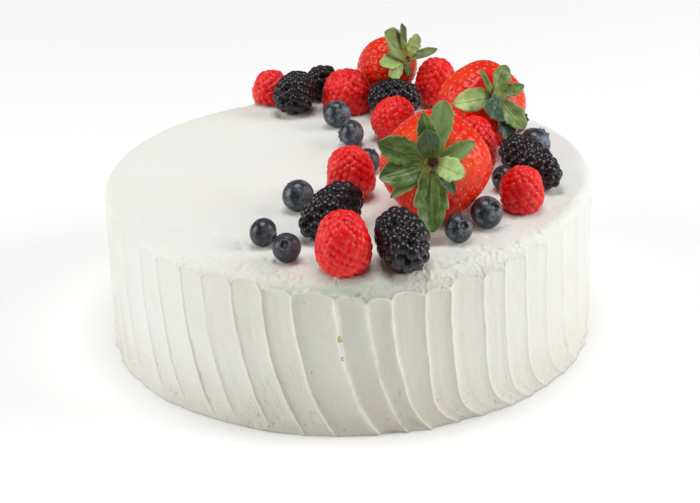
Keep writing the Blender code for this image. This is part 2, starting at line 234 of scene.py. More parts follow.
def build_fruit(kind, number, fruit, sink, *mesh):
    """A fruit's skin, set where its node lies, no larger, and sunk a little."""
    node = f"{kind}_{number}"
    piece = build_mesh(f"{kind}_skin_{number}", *mesh)
    piece.data.transform(axis_turn(fruit).to_4x4())
    box_low, box_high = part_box(node)
    points = np.array([vertex.co for vertex in piece.data.vertices])
    room = np.array(box_high - box_low) + (0, 0, sink)
    shrink = np.minimum(1, room / (points.max(0) - points.min(0)))
    piece.data.transform(Matrix.Diagonal((*shrink, 1)))
    low, high = points.min(0) * shrink, points.max(0) * shrink
    place = 0.5 * (box_low + box_high - Vector(low + high))
    place.z = box_low.z - low[2] - sink
    piece.location = place
    fit_out(piece, node)
    return place


# --- materials

class Nodes:
    """Writes a node tree: each call adds a node and returns its output."""

    def __init__(self, name):
        self.material = bpy.data.materials.new(name)
        self.material.use_nodes = True
        self.tree = self.material.node_tree
        self.place = self.node("ShaderNodeTexCoord", {}, "Object")

    def feed(self, socket, value):
        if isinstance(value, bpy.types.NodeSocket):
            self.tree.links.new(value, socket)
        else:
            socket.default_value = (*value, 1) if socket.type == "RGBA" else value

    def node(self, kind, inputs, output, **settings):
        item = self.tree.nodes.new(kind)
        for key, value in settings.items():
            setattr(item, key, value)
        for socket, value in inputs.items():
            self.feed(item.inputs[socket], value)
        return item.outputs[output]

    def layer(self, label, output="Fac"):
        return self.node("ShaderNodeAttribute", {}, output, attribute_name=label)

    def part(self, axis):
        return self.node("ShaderNodeSeparateXYZ", {0: self.place}, axis)

    def noise(self, scale, detail=3, roughness=0.55, where=None):
        inputs = {"Vector": where or self.place, "Scale": scale, "Detail": detail,
                  "Roughness": roughness}
        return self.node("ShaderNodeTexNoise", inputs, "Fac")

    def ramp(self, value, low, high, bottom=0, top=1):
        """Map low..high to bottom..top, clamped and smooth."""
        inputs = dict(enumerate((value, low, high, bottom, top)))
        return self.node("ShaderNodeMapRange", inputs, "Result", interpolation_type="SMOOTHSTEP")

    def math(self, operation, first, second=0):
        return self.node("ShaderNodeMath", {0: first, 1: second}, 0, operation=operation)

    def plus(self, first, second):
        return self.math("ADD", first, second)

    def times(self, first, second):
        return self.math("MULTIPLY", first, second)

    def lines(self, scale, width, strength):
        """Thin wandering lines, where a noise crosses its middle."""
        from_middle = self.math("ABSOLUTE", self.plus(self.noise(scale, 2), -0.5))
        return self.ramp(from_middle, 0, width, strength, 0)

    def mix(self, share, first, second, mode="MIX"):
        inputs = {0: share, 6: first, 7: second}
        return self.node("ShaderNodeMix", inputs, 2, data_type="RGBA", blend_type=mode)

    def coats(self, color, *coats):
        """Lay colours over one another, each with the share that it covers."""
        for share, coat in coats:
            color = self.mix(share, color, coat)
        return color

    def bump(self, height, depth, strength=1, before=None):
        inputs = {"Height": height, "Distance": depth, "Strength": strength}
        if before is not None:
            inputs["Normal"] = before
        return self.node("ShaderNodeBump", inputs, "Normal")

    def finish(self, **values):
        """Set the shader's sockets by name, with underscores for spaces."""
        shader = self.tree.nodes["Principled BSDF"]
        for key, value in values.items():
            self.feed(shader.inputs[key.replace("_", " ")], value)
        return self.material


def cream_material():
    nodes = Nodes("whipped_cream")
    # foot is a painted colour: warm reflected light and shade towards the base.
    cool, warm, foot = (0.89, 0.9, 0.86), (0.885, 0.88, 0.815), (0.81, 0.78, 0.675)
    # The front tint is painted shade with warm reflected light at the front.
    painted_front_shade, red_bounce_damping = (0.96, 0.943, 0.885), (0.9, 0.985, 0.97)
    # thin is a painted highlight for thin edges; hollow is painted shade for pits.
    thin, hollow = (0.955, 0.945, 0.895), (0.5, 0.46, 0.36)
    streaks = nodes.noise(420, 4, where=nodes.layer("comb", "Vector"))
    froth = nodes.noise(1000, 4, 0.65)
    # How near the base a point is, for the painted warm reflection and shade there.
    low = nodes.ramp(nodes.part("Z"), 0, 34 * MM, 0.65, 0)
    # How far to the front a point is, for the painted front shade.
    front = nodes.ramp(nodes.part("Y"), -76 * MM, -103 * MM)
    # Pits in the cream; the hollow colour paints shade into them, deeper towards the base.
    holes = nodes.ramp(nodes.plus(nodes.noise(480, 2), nodes.times(low, 0.1)), 0.71, 0.78)
    color = nodes.mix(nodes.ramp(nodes.noise(16, 2), 0.35, 0.7), cool, warm)
    # Painted warm reflected light and shade towards the base.
    color = nodes.mix(low, color, foot)
    # Painted shade and warm reflected light at the front.
    color = nodes.mix(front, color, painted_front_shade, "MULTIPLY")
    # Painted cast that takes out some of the red light bounced onto the cream by nearby red fruit.
    color = nodes.mix(nodes.layer("near"), color, red_bounce_damping, "MULTIPLY")
    # Painted highlight on thin ridges and lips, and painted shade in the pits, deeper towards the base.
    color = nodes.coats(color, (nodes.ramp(nodes.layer("edge"), 0.35, 0.95, 0, 0.8), thin),
                        (nodes.times(holes, nodes.plus(nodes.times(low, 0.5), 0.25)), hollow))
    foam = nodes.times(froth, nodes.ramp(nodes.layer("torn"), 0, 1, 0.3))
    normal = nodes.bump(streaks, 0.3 * MM, 0.3)
    normal = nodes.bump(foam, 0.8 * MM, 0.7, normal)
    normal = nodes.bump(nodes.times(holes, -1), 0.4 * MM, 0.5, normal)
    return nodes.finish(
        Base_Color=color, Roughness=nodes.ramp(froth, 0.3, 0.7, 0.5, 0.62), Normal=normal,
        Subsurface_Weight=0.15, Subsurface_Scale=1.5 * MM, Specular_IOR_Level=0.35)


def crumb_material():
    nodes = Nodes("crumb")
    shade = nodes.noise(1100, 2)
    color = nodes.mix(nodes.ramp(shade, 0.35, 0.65), (0.34, 0.36, 0.1), (0.74, 0.74, 0.46))
    return nodes.finish(Base_Color=color, Roughness=0.7)


def drupelet_nodes(name, dark, light, pale, bloom):
    """Skin of a drupelet fruit: painted shade darkens the creases, and it is a little uneven."""
    nodes = Nodes(name)
    # Painted shade: dark in the creases between drupelets, the fruit's own colour on their crowns.
    color = nodes.mix(nodes.ramp(nodes.layer("crown"), 0.2, 0.85), dark, light)
    speckle = nodes.noise(700)
    color = nodes.coats(color, (nodes.ramp(nodes.layer("tone"), 0.3, 1, 0, bloom), pale),
                        (nodes.ramp(speckle, 0.5, 0.8, 0, bloom), pale))
    nodes.finish(Base_Color=color)
    return nodes


def raspberry_material():
    # dark is the painted shade in the creases.
    dark, light, pale = (0.54, 0.002, 0.005), (0.86, 0.007, 0.01), (0.95, 0.05, 0.04)
    nodes = drupelet_nodes("raspberry_skin", dark, light, pale, 0.8)
    fuzz = nodes.noise(1200, 3, 0.7)
    return nodes.finish(
        Roughness=0.2, Specular_IOR_Level=0.3, Sheen_Weight=0.03, Sheen_Roughness=0.35,
        Sheen_Tint=(1, 0.55, 0.55), Subsurface_Weight=0.12, Subsurface_Scale=1 * MM,
        Subsurface_Radius=(1, 0.1, 0.08), Normal=nodes.bump(fuzz, 0.3 * MM, 0.5))


def bramble_material():
    # dark is the painted shade in the creases.
    dark, light, pale = (0.002, 0.0015, 0.002), (0.01, 0.008, 0.011), (0.024, 0.012, 0.018)
    nodes = drupelet_nodes("bramble_skin", dark, light, pale, 0.4)
    return nodes.finish(Roughness=0.25, Specular_IOR_Level=0.4)


def blueberry_material():
    """Dark skin under a patchy bloom with scratches, and a paler rim round a dark eye."""
    nodes = Nodes("blueberry_skin")
    crown, kept = nodes.layer("crown"), nodes.layer("bloom")
    patches, fine = nodes.noise(170, 5, 0.65), nodes.noise(1400)
    bloom = nodes.ramp(nodes.plus(patches, nodes.times(fine, 0.2)), 0.5, 0.72)
    thick = nodes.times(nodes.ramp(patches, 0.54, 0.68, 0, 0.8), kept)
    rubbed = nodes.times(nodes.lines(620, 0.022, 0.6), nodes.ramp(thick, 0.1, 0.5))
    color = nodes.coats(
        (0.011, 0.013, 0.019), (nodes.times(bloom, kept), (0.155, 0.182, 0.235)),
        (thick, (0.26, 0.275, 0.32)), (nodes.lines(450, 0.03, 0.45), (0.01, 0.01, 0.015)),
        (rubbed, (0.4, 0.43, 0.5)), (nodes.ramp(crown, 0.1, 0.5, 0, 0.5), (0.21, 0.225, 0.255)),
        (nodes.ramp(crown, 0.7, 0.95), (0.02, 0.014, 0.014)))
    return nodes.finish(Base_Color=color, Roughness=nodes.ramp(bloom, 0, 1, 0.28, 0.5),
                        Normal=nodes.bump(fine, 0.08 * MM, 0.5), Coat_Weight=0.1, Coat_Roughness=0.25)


def strawberry_material():
    """Red skin, paler at the shoulder and round each achene."""
    nodes = Nodes("strawberry_skin")
    blotch = nodes.noise(90)
    paleness = nodes.plus(nodes.layer("share"), nodes.times(blotch, 0.12))
    color = nodes.mix(nodes.ramp(blotch, 0.35, 0.7), (0.8, 0.006, 0.003), (0.95, 0.035, 0.006))
    color = nodes.coats(color, (nodes.ramp(paleness, 0.92, 1.08, 0, 0.8), (0.93, 0.15, 0.04)),
                        (nodes.times(nodes.layer("dimple"), 0.4), (0.95, 0.1, 0.015)))
    normal = nodes.bump(nodes.noise(600), 0.2 * MM, 0.45)
    return nodes.finish(
        Base_Color=color, Roughness=0.38, Normal=normal, Specular_IOR_Level=0.16, Coat_Weight=0.3,
        Coat_Roughness=0.12, Subsurface_Weight=0.06, Subsurface_Scale=1 * MM,
        Subsurface_Radius=(1, 0.12, 0.06))


def achene_material():
    nodes = Nodes("achene")
    color = nodes.mix(nodes.noise(300, 2), (0.8, 0.24, 0.03), (0.9, 0.46, 0.11))
    return nodes.finish(Base_Color=color, Roughness=0.4)


def leaf_material():
    nodes = Nodes("calyx_leaf")
    across, along, pale = (nodes.layer(label) for label in ("across", "along", "pale"))
    mottle, broad = nodes.noise(260, 4), nodes.noise(95)
    strip = {"X": nodes.times(across, 3.4), "Y": nodes.times(along, 0.9), "Z": nodes.times(pale, 9)}
    bands = nodes.noise(1.6, where=nodes.node("ShaderNodeCombineXYZ", strip, "Vector"))
    distance = nodes.math("ABSOLUTE", across)
    slant = nodes.plus(nodes.times(along, 11), nodes.times(distance, -3))
    veins = nodes.ramp(nodes.math("PINGPONG", slant, 0.5), 0, 0.12, 1, 0)
    midrib = nodes.times(nodes.ramp(distance, 0.02, 0.12, 1, 0), nodes.ramp(pale, -0.5, 0, 0.2))
    color = nodes.mix(nodes.ramp(mottle, 0.3, 0.7), (0.044, 0.098, 0.018), (0.15, 0.245, 0.05))
    color = nodes.coats(
        color,
        (nodes.ramp(bands, 0.5, 0.72, 0, 0.65), (0.36, 0.49, 0.14)),  # light bands
        (nodes.ramp(pale, 0, 1.1), (0.5, 0.7, 0.24)),  # pale leaves
        (nodes.ramp(pale, 0, -0.7), (0.04, 0.09, 0.052)),  # blue-green and darker leaves: their own hue, and painted shade on those far below 0
        (nodes.ramp(broad, 0.42, 0.26, 0, 0.7), (0.018, 0.05, 0.01)),  # painted shade in random dark patches
        (nodes.times(veins, 0.12), (0.3, 0.44, 0.15)),
        (nodes.times(midrib, 0.35), (0.4, 0.52, 0.22)),
        (nodes.ramp(distance, 0.88, 1, 0, 0.4), (0.44, 0.56, 0.26)),  # light margin
        (nodes.ramp(along, 0.93, 1, 0, 0.5), (0.16, 0.1, 0.05)),  # dry tip
        (nodes.ramp(along, 0.26, 0.1, 0, 0.75), (0.25, 0.24, 0.03)))  # yellowish root
    normal = nodes.bump(nodes.plus(midrib, nodes.times(veins, 0.6)), 0.3 * MM, 0.6)
    normal = nodes.bump(mottle, 0.4 * MM, 0.5, normal)
    return nodes.finish(Base_Color=color, Roughness=0.32, Normal=normal, Specular_IOR_Level=0.4)


def stem_material():
    nodes = Nodes("stem_scar")
    shade = nodes.noise(900)
    color = nodes.mix(nodes.ramp(shade, 0.35, 0.65), (0.03, 0.01, 0.002), (0.15, 0.05, 0.01))
    color = nodes.mix(nodes.ramp(nodes.layer("pale"), 0.3, 0.9), color, (0.25, 0.15, 0.025))
    return nodes.finish(Base_Color=color, Roughness=0.7, Normal=nodes.bump(shade, 0.3 * MM, 0.8))


# --- the cream

# Points across a stroke at the front, sides and back, and rows up the side and over the top.
FRONT_POINTS, SIDE_POINTS, BACK_POINTS = 26, 15, 8
LOW_ROWS, LIP_ROWS, SHOULDER_ROWS, RIM_ROWS, TOP_ROWS = 46, 20, 15, 26, 24
LIP_DEPTH = 11 * MM
FADE = 3 * MM  # how far in from the rounding the side's relief fades out
RIM_WIDTH = 22 * MM

# Unevenness of the cream in grains: strength, lumps per metre and seed.
LIP_GRAIN = ((1, 330, 3),)
SIDE_GRAIN = ((0.15, 420, 5), (0.14, 900, 6))
SIDE_WAVES = ((0.17, 200, 13), (0.08, 480, 16))
RIDGE_BREAKS = ((0.9, 130, 8), (0.6, 420, 18))
SPILL_GRAIN = ((0.9, 60, 17),)
PATCHES = ((2.4, 45, 9),)
LIP_SMEARS = ((0.3, 480, 19), (0.15, 900, 20))
FOOT_SMEARS = ((0.3, 330, 23),)
TOP_WAVES = ((0.3, 22, 2), (0.07, 110, 4))
TOP_GRAIN = ((0.25, 420, 5), (0.2, 900, 6))
TOP_PATCHES = ((1.2, 60, 14),)
FLAKES, SMALL_FLAKES = (300, 12), (560, 15)

# Sideways wander of the ridges: size, step from ridge to ridge, steps per metre and seed.
WANDER = ((0.6 * MM, 3.3, 70, 1.5), (0.3 * MM, 7.1, 230, 2.5))

# Headings for between(): where the hollows are shallow high up or fade out at the foot, and where
# the strokes run straight and then hook at the foot.
SHALLOW_LEFT, SHALLOW_RIGHT = (-100, 20, -20, 12), (26, 14, 100, 20)
SMOOTH_FOOT, HOOKED = (-75, 20, 14, 16), (5, 12, 95, 25)

# Froth along the lip: how much more of it, about which heading, and how wide.
LIP_FROTH = ((0.4, 2, 17), (0.6, 32, 17), (0.3, -30, 13))
# Frothy spots on the top: how much, and x, y and width in millimetres.
TOP_FROTH = ((0.9, -33, -85, 16), (0.5, -52, -85, 11))

# Heights and widths of the relief.
SCOOP_DEPTH = 1 * MM
RIDGE_WIDTH = 0.6 * MM
EDGE_HEIGHT = 0.7 * MM  # of a ridge or lip thin enough to get a painted highlight
CURL_HEIGHT = 1.1 * MM
CURL_HEADING = -3.3  # of the one thick curl of cream, in degrees
LIP_WIDTH = 0.55 * MM
FOOT_WIDTH = 3.2 * MM  # of the cream pushed up round a fruit
FOOT_HEIGHT = 0.75 * MM
RED_REACH = 18 * MM  # how far the painted cast reaches that takes out red light bounced from a red fruit


def rim_radius(heading):
    return CAKE_RADIUS * (1 + OUT_OF_ROUND * np.cos(3 * heading))


def stroke_list():
    """Start and width of each stroke: listed across the front, drawn unevenly elsewhere."""
    ridges = [radians(heading) for heading in FRONT_RIDGES]
    draw = random.Random(7)
    shares = [draw.uniform(1 - UNEVENNESS, 1 + UNEVENNESS)
              for _ in range(STROKES - len(ridges) + 1)]
    whole = (tau - ridges[-1] + ridges[0]) / sum(shares)
    for share in shares[:-1]:
        ridges.append(ridges[-1] + share * whole)
    ends = ridges[1:] + [ridges[0] + tau]
    return [(start, end - start) for start, end in zip(ridges, ends)]


def stroke_table():
    """Lean, depth, start below the top in millimetres and crest of each stroke."""
    draw = random.Random(5)
    ranges = ((0.62, 0.95), (0.75, 1.1), (2.8, 5.2), (0.6, 1.2))
    table = np.array([[draw.uniform(*limits) for limits in ranges] for _ in range(STROKES)]).T
    table[2, :len(FRONT_LIPS)] = FRONT_LIPS
    return table


STROKE_TABLE = stroke_table()


def stroke_columns():
    """Start and width of each column's stroke, its share across, and its number."""
    table = []
    for number, (start, width) in enumerate(stroke_list()):
        middle = abs(remainder(start + 0.5 * width, tau))
        count = (FRONT_POINTS if middle < radians(57) else SIDE_POINTS if middle < radians(88)
                 else BACK_POINTS)
        for k in range(count):
            share = k / count
            crowded = 0.55 * share + 0.225 * (1 - cos(pi * share))
            table.append((start, width, crowded, number))
    return np.array(table).T


def cream_rows():
    """Inset, drop below the top and steepness of each row, from base to centre."""
    drops = [*spaced(CAKE_HEIGHT, LIP_DEPTH, LOW_ROWS), *spaced(LIP_DEPTH, ROUNDING, LIP_ROWS)]
    turns = spaced(0.5 * pi, 0, SHOULDER_ROWS)
    inner = ROUNDING + RIM_WIDTH
    insets = [*spaced(ROUNDING, inner, RIM_ROWS),
              *(inner + (CAKE_RADIUS - 1 * MM - inner) * spaced(0, 1, TOP_ROWS) ** 1.1)]
    return ([(0, drop, 1) for drop in drops]
            + [(ROUNDING * (1 - sin(turn)), ROUNDING * (1 - cos(turn)), sin(turn)) for turn in turns]
            + [(inset, 0, 0) for inset in insets])


def pressed_up(x, y):
    """Height of the cream pushed up round each fruit, and how near a red one is."""
    rise, near = np.zeros_like(x), np.zeros_like(x)
    kinds = (("strawberry", STRAWBERRIES, 0.42), ("raspberry", RASPBERRIES, 0.78),
             ("bramble", BRAMBLES, 0.45), ("blueberry", BLUEBERRIES, 0.45))
    for kind, fruits, footing in kinds:
        for number, fruit in enumerate(fruits, 1):
            low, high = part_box(f"{kind}_{number}")
            from_x, from_y, _ = 0.5 * (low + high)
            from_x, from_y = x - from_x, y - from_y
            half = max(0, 0.5 * fruit.length - fruit.radius) * MM * cos(radians(fruit.lift))
            ax, ay = sin(radians(fruit.heading)), -cos(radians(fruit.heading))
            along = np.clip(from_x * ax + from_y * ay, -half, half)
            gap = np.hypot(from_x - along * ax, from_y - along * ay) - footing * fruit.radius * MM
            rise = np.maximum(rise, FOOT_HEIGHT * ease(1 - gap / FOOT_WIDTH))
            if kind in ("strawberry", "raspberry"):
                near = np.maximum(near, np.clip(1 - gap / RED_REACH, 0, 1) ** 1.4)
    return rise, near


def pits(x, y):
    """Small burst bubbles and tears in the top, mostly near the front rim."""
    draw = random.Random(21)
    depth = np.zeros_like(x)
    for _ in range(150):
        in_front = draw.random() < 0.8
        turn = radians(draw.uniform(-70, 75) if in_front else draw.uniform(75, 290))
        radius = (101 - 26 * draw.random() ** 1.6) * MM
        width, deep = draw.uniform(0.7, 1.5) * MM, draw.uniform(0.2, 0.8) * MM
        gap = np.hypot(x - radius * sin(turn), y + radius * cos(turn))
        depth -= deep * hump(gap, 0, width)
    return depth


def flakes_at(place, lumps, seed):
    """Thin torn flakes, 0 to 1: narrow ridges along the lines where a noise crosses zero."""
    return np.clip(1 - np.abs(noise_at(place, lumps, seed)) / 0.14, 0, 1)


def run_over(number, across, kind):
    """A number from the table of strokes, which meets its neighbours' at the ridges."""
    before, own, after = (STROKE_TABLE[kind, (number + step) % STROKES] for step in (-1, 0, 1))
    return own + 0.5 * (before - own) * (1 - across) ** 6 + 0.5 * (after - own) * across ** 6


def combed_relief(place, across, width, number, down, plain, heading, front):
    """Hollows under arches, with thin ridges between them and a torn lip over each.

    Returns how far the points of a row stand out, how thin an edge they are, which sets their
    painted highlight, how far they lie below their arch, and how fully the hollow has begun.  Plain
    is their heading at the top.
    """
    lean, depth = STROKE_TABLE[:2, number]
    begin, crest = run_over(number, across, 2), run_over(number, across, 3)
    drop = down * CAKE_HEIGHT
    ragged = uneven(place, LIP_GRAIN)
    from_middle = np.abs(2 * across ** lean - 1)
    below = drop - begin * MM - ARCH_HEIGHT * from_middle ** 3 + (0.3 + 0.7 * front) * MM * ragged
    onset = ease(0.5 + below / ((1.1 + 4.5 * (1 - hump(heading, 2, 45))) * MM))
    shallow = (between(heading, *SHALLOW_LEFT) * (0.6 - 0.5 * ease((down - 0.25) / 0.45))
               + between(heading, *SHALLOW_RIGHT) * (0.5 - 0.25 * ease((down - 0.4) / 0.5)))
    kept = 1 - 0.75 * ease((down - 0.87) / 0.08) * between(heading, *SMOOTH_FOOT)
    scoop = SCOOP_DEPTH * depth * (1 - shallow) * (1 - from_middle ** 3) * onset * kept

    edge = np.minimum(across, 1 - across) * width * CAKE_RADIUS
    broken = np.clip(0.85 + uneven(place, RIDGE_BREAKS), 0.2, 1.6)
    crest = (0.18 + 0.8 * front) * MM * crest * broken * onset * (0.4 + 0.6 * kept)
    crest = crest * hump(edge / (0.5 + 0.5 * broken), 0, RIDGE_WIDTH)
    curl_width = (0.7 + 0.5 * hump(drop, 13 * MM, 4.5 * MM)) * MM
    curl = CURL_HEIGHT * hump(CAKE_RADIUS * np.radians(plain - CURL_HEADING), 0, curl_width) * broken
    curl = curl * ease((drop - 6.5 * MM) / (3 * MM)) * (0.3 + 0.7 * ease((34 * MM - drop) / (12 * MM)))
    lip = (0.22 + 0.85 * front) * MM * np.clip(0.9 + 1.8 * ragged, 0.1, 1.8)
    lip = lip * hump(below, -0.5 * MM, LIP_WIDTH)
    # How much painted highlight the thin ridge, lip and curl get.
    thin = np.clip((crest + lip + curl) / EDGE_HEIGHT, 0, 1)
    return crest + curl + lip - scoop, thin, below, onset


def torn_relief(place, across, number, down, heading, below, onset):
    """Streaks and torn patches: how far they stand out and how torn the cream is."""
    in_stroke = np.stack([number, across, np.full(len(across), down)], 1)
    chatter = noise_at(in_stroke * (3.7, 1.5, 11), 1)
    groove = noise_at(in_stroke * (5.1, 6, 2), 1)
    spill = ease((down - 0.93) / 0.07) * np.clip(0.7 + uneven(place, SPILL_GRAIN), 0.1, 1.3)
    foot = ease((down - 0.86) / 0.14)
    over = ease(1 - below / (1.4 * MM))
    froth = (0.12 + sum(more * hump(heading, *stretch) for more, *stretch in LIP_FROTH)) * over
    patch = ease(uneven(place, PATCHES) - 0.6 + 0.8 * hump(heading, -22, 12) * ease((down - 0.5) / 0.3))
    lower = ease((down - 0.45) / 0.4) * hump(heading, -8, 50)
    torn = np.clip(0.12 + froth + 0.4 * foot + 0.6 * patch + 0.45 * lower, 0, 1)
    flakes = flakes_at(place, *FLAKES) + 0.5 * flakes_at(place, *SMALL_FLAKES) - 0.4
    lip_smears = uneven(place * (0.22, 0.22, 1), LIP_SMEARS) * over * hump(heading, 4, 24)
    foot_smears = uneven(place * (0.3, 0.3, 1), FOOT_SMEARS) * (patch + foot)
    rough = uneven(place, SIDE_GRAIN) * torn + flakes * (0.68 * froth + 0.26 * (patch + foot))
    streaks = (0.12 * chatter + 0.1 * groove + uneven(place, SIDE_WAVES)) * onset
    return (spill + rough + lip_smears + foot_smears + streaks) * MM, torn


def top_relief(place, heading):
    """How far the top stands up, how torn it is, and how near a red fruit."""
    x, y = place[:, 0], place[:, 1]
    from_axis = np.hypot(x, y)
    froth = ease((from_axis - 80 * MM) / (20 * MM)) * (0.12 + 0.88 * hump(heading, 30, 24))
    for much, middle_x, middle_y, width in TOP_FROTH:
        away = np.hypot(x - middle_x * MM, y - middle_y * MM)
        froth = np.maximum(froth, much * hump(away, 0, width * MM))
    froth = 0.05 + froth * ease(0.7 + uneven(place, TOP_PATCHES))
    feet, near = pressed_up(x, y)
    rough = uneven(place, TOP_GRAIN) + 0.33 * (flakes_at(place, *FLAKES) - 0.3)
    waves = uneven(place, TOP_WAVES) * ease(from_axis / (20 * MM))
    return feet + pits(x, y) + (waves + rough * froth) * MM, froth, near


def wander(ridge, drop):
    """How far to one side a ridge has wandered at a drop below the top."""
    return sum(size * noise.noise(Vector((step * ridge, per_metre * drop, seed)))
               for size, step, per_metre, seed in WANDER)


def cream_points():
    """Number of columns, the points row by row, and the layers for the material."""
    start, width, across, number = stroke_columns()
    number = number.astype(int)
    plain = start + across * width
    hook = 0.12 + 0.56 * between(np.degrees(np.remainder(plain + pi, tau) - pi), *HOOKED)
    layers = []
    for inset, drop, steep in cream_rows():
        down = drop / CAKE_HEIGHT
        aside = np.array([wander(ridge, drop) for ridge in range(STROKES)]) * steep
        shift = aside[number] * (1 - across) + np.roll(aside, -1)[number] * across
        sweep = SWEEP * ((1 - hook) * down ** 2.3 + hook * down ** 12)
        turn = np.remainder(plain + sweep + shift / CAKE_RADIUS + pi, tau) - pi
        heading = np.degrees(turn)
        rim = rim_radius(turn)
        if steep == 0:
            radius = (rim - INSIDE - ROUNDING) * (1 - (inset - ROUNDING) / (CAKE_RADIUS - ROUNDING))
        else:
            radius = rim + (BASE_RADIUS - rim) * down ** 1.2 - inset - INSIDE
        ahead = np.stack([np.sin(turn), -np.cos(turn)])
        flat = np.stack([*(radius * ahead), np.full(len(turn), -drop)], 1)
        side = torn = edge = top = froth = near = np.zeros(len(turn))
        if inset < ROUNDING + FADE:
            fade = ease(1 - (inset - ROUNDING) / FADE)
            side, edge, below, onset = combed_relief(
                flat, across, width, number, down, np.degrees(plain), heading, hump(heading, 2, 17))
            tears, torn = torn_relief(flat, across, number, down, heading, below, onset)
            side, edge = side + tears, edge * fade
            proudest = PROUDEST + 0.6 * (rim - BASE_RADIUS) * down
            side = np.where(side > 0, proudest * np.tanh(side / proudest), side) * fade
        if steep < 1:
            top, froth, near = top_relief(flat, heading)
        px, py = (radius + side * steep) * ahead
        pz = (1 - down) * (CAKE_HEIGHT + TOP_SLOPE * px) + (top + side) * sqrt(1 - steep * steep)
        comb = (CAKE_RADIUS * np.sin(plain) * steep + px * (1 - steep),
                CAKE_RADIUS * np.cos(plain) * steep + 0.3 * py * (1 - steep), 0.12 * pz)
        torn = np.maximum(torn * steep, froth * (1 - steep))
        layers.append((np.stack([px, py, pz], 1), np.stack(comb, 1), torn, near, edge))
    return len(start), *(np.concatenate(rows) for rows in zip(*layers))


def build_cream():
    columns, points, comb, *layers = cream_points()
    points, faces = close_ends(points, columns, (0, 0, 0), points[-columns:].mean(0))
    layers = {label: np.append(layer, (0, 0)) for label, layer in zip(("torn", "near", "edge"), layers)}
    layers["comb"] = np.vstack([comb, comb[-2:]])
    cream = build_mesh("cream", points, faces, [cream_material()], layers)
    fit_out(cream, "cake")


# --- drupelet fruit

# Shares of the length below and above the widest part, powers that make it fuller below and
# tapered above, how far a drupelet reaches, and the grid and seed.
Form = namedtuple("Form", "below above fullness taper crowding rows columns seed")
RASPBERRY = Form(0.36, 0.66, 0.72, 0.72, 0.62, 78, 168, 100)
BRAMBLE = Form(0.44, 0.56, 0.85, 1.1, 0.575, 88, 150, 200)
GOLDEN_ANGLE = pi * (3 - sqrt(5))


def drupelet_centres(reach, height, spacing, draw):
    """Centres of drupelets, evenly packed by the golden angle over the profile."""
    band = pi * (reach[1:] + reach[:-1]) * np.hypot(np.diff(reach), np.diff(height))
    area = np.cumsum([0, *band])
    count = round(area[-1] / (0.866 * spacing * spacing))
    centres = []
    for k in range(count):
        at = (k + 0.5 + draw.uniform(-0.25, 0.25)) / count * area[-1]
        r, h = np.interp(at, area, reach), np.interp(at, area, height)
        centres.append(around(r, h, k * GOLDEN_ANGLE + draw.uniform(-0.1, 0.1) * spacing / max(r, spacing)))
    return np.array(centres)


def build_drupelet_fruit(kind, number, fruit, form, start, spacing, bulge, skin):
    """One closed skin: each point stands out as far as the drupelet it lies on."""
    draw = random.Random(form.seed + number)
    length = fruit.length * MM
    rise = np.radians(np.linspace(start, 90, form.rows))
    upper = rise > 0
    height = np.where(upper, form.above * length - 0.4 * bulge, form.below * length) * np.sin(rise)
    reach = (fruit.radius * MM - 0.75 * bulge) * np.cos(rise) ** np.where(upper, form.taper, form.fullness)
    reach[-1] = 0
    centres = drupelet_centres(reach, height, spacing, draw)
    size = np.array([draw.uniform(0.88, 1.14) for _ in centres])
    tones = np.array([draw.random() for _ in centres])
    angles = spaced(0, tau, form.columns)
    points = around(reach[:, None], height[:, None], angles).reshape(-1, 3)
    normal = around(np.gradient(height)[:, None], -np.gradient(reach)[:, None], angles).reshape(-1, 3)
    gaps = np.linalg.norm(points[:, None] - centres, axis=2)
    domes = np.sqrt(np.clip(1 - (gaps / (form.crowding * spacing * size)) ** 2, 0, 1)) * size
    # How high each point lies on its drupelet, which also sets the painted crease shade.
    crown, tone = domes.max(1), tones[domes.argmax(1)]
    lumps = noise_at(points, 1.3 / (fruit.radius * MM), form.seed + number)
    out = bulge * (crown - 0.25) + 0.05 * fruit.radius * MM * lumps
    points = points + unit(normal) * out[:, None]

    # The last ring has no reach: its points become the one at the pole.
    rings, last = points[:-form.columns], points[-form.columns:]
    foot = (0, 0, rings[:form.columns, 2].mean() + 0.4 * bulge)
    points, faces = close_ends(rings, form.columns, foot, last.mean(0))
    layers = {label: np.append(layer[:-form.columns], (0, layer[-1]))
              for label, layer in (("crown", crown), ("tone", tone))}
    build_fruit(kind, number, fruit, 0.5 * MM, points, faces, [skin], layers)


def build_raspberries():
    skin = raspberry_material()
    for number, fruit in enumerate(RASPBERRIES, 1):
        build_drupelet_fruit("raspberry", number, fruit, RASPBERRY, fruit.trait, 3 * MM, 1.4 * MM, skin)


def build_brambles():
    skin = bramble_material()
    for number, fruit in enumerate(BRAMBLES, 1):
        size = fruit.trait * MM
        build_drupelet_fruit("bramble", number, fruit, BRAMBLE, -84, size, 0.56 * size, skin)


# --- blueberries

BODY_RINGS, BERRY_COLUMNS = 40, 80
# Rings of the crown, from its rim into the eye: shares of the radius and half the length, how
# much its five lobes change both, and the mark that its colour follows.
CROWN_RINGS = ((0.46, 0.885, 0, 0), (0.39, 0.92, 0.02, 0.2), (0.35, 0.97, 0.05, 0.6),
               (0.32, 1.01, 0.09, 0.7), (0.27, 0.98, 0.05, 0.9), (0.24, 0.9, 0, 1),
               (0.18, 0.82, 0, 1), (0.09, 0.78, 0, 0.8))


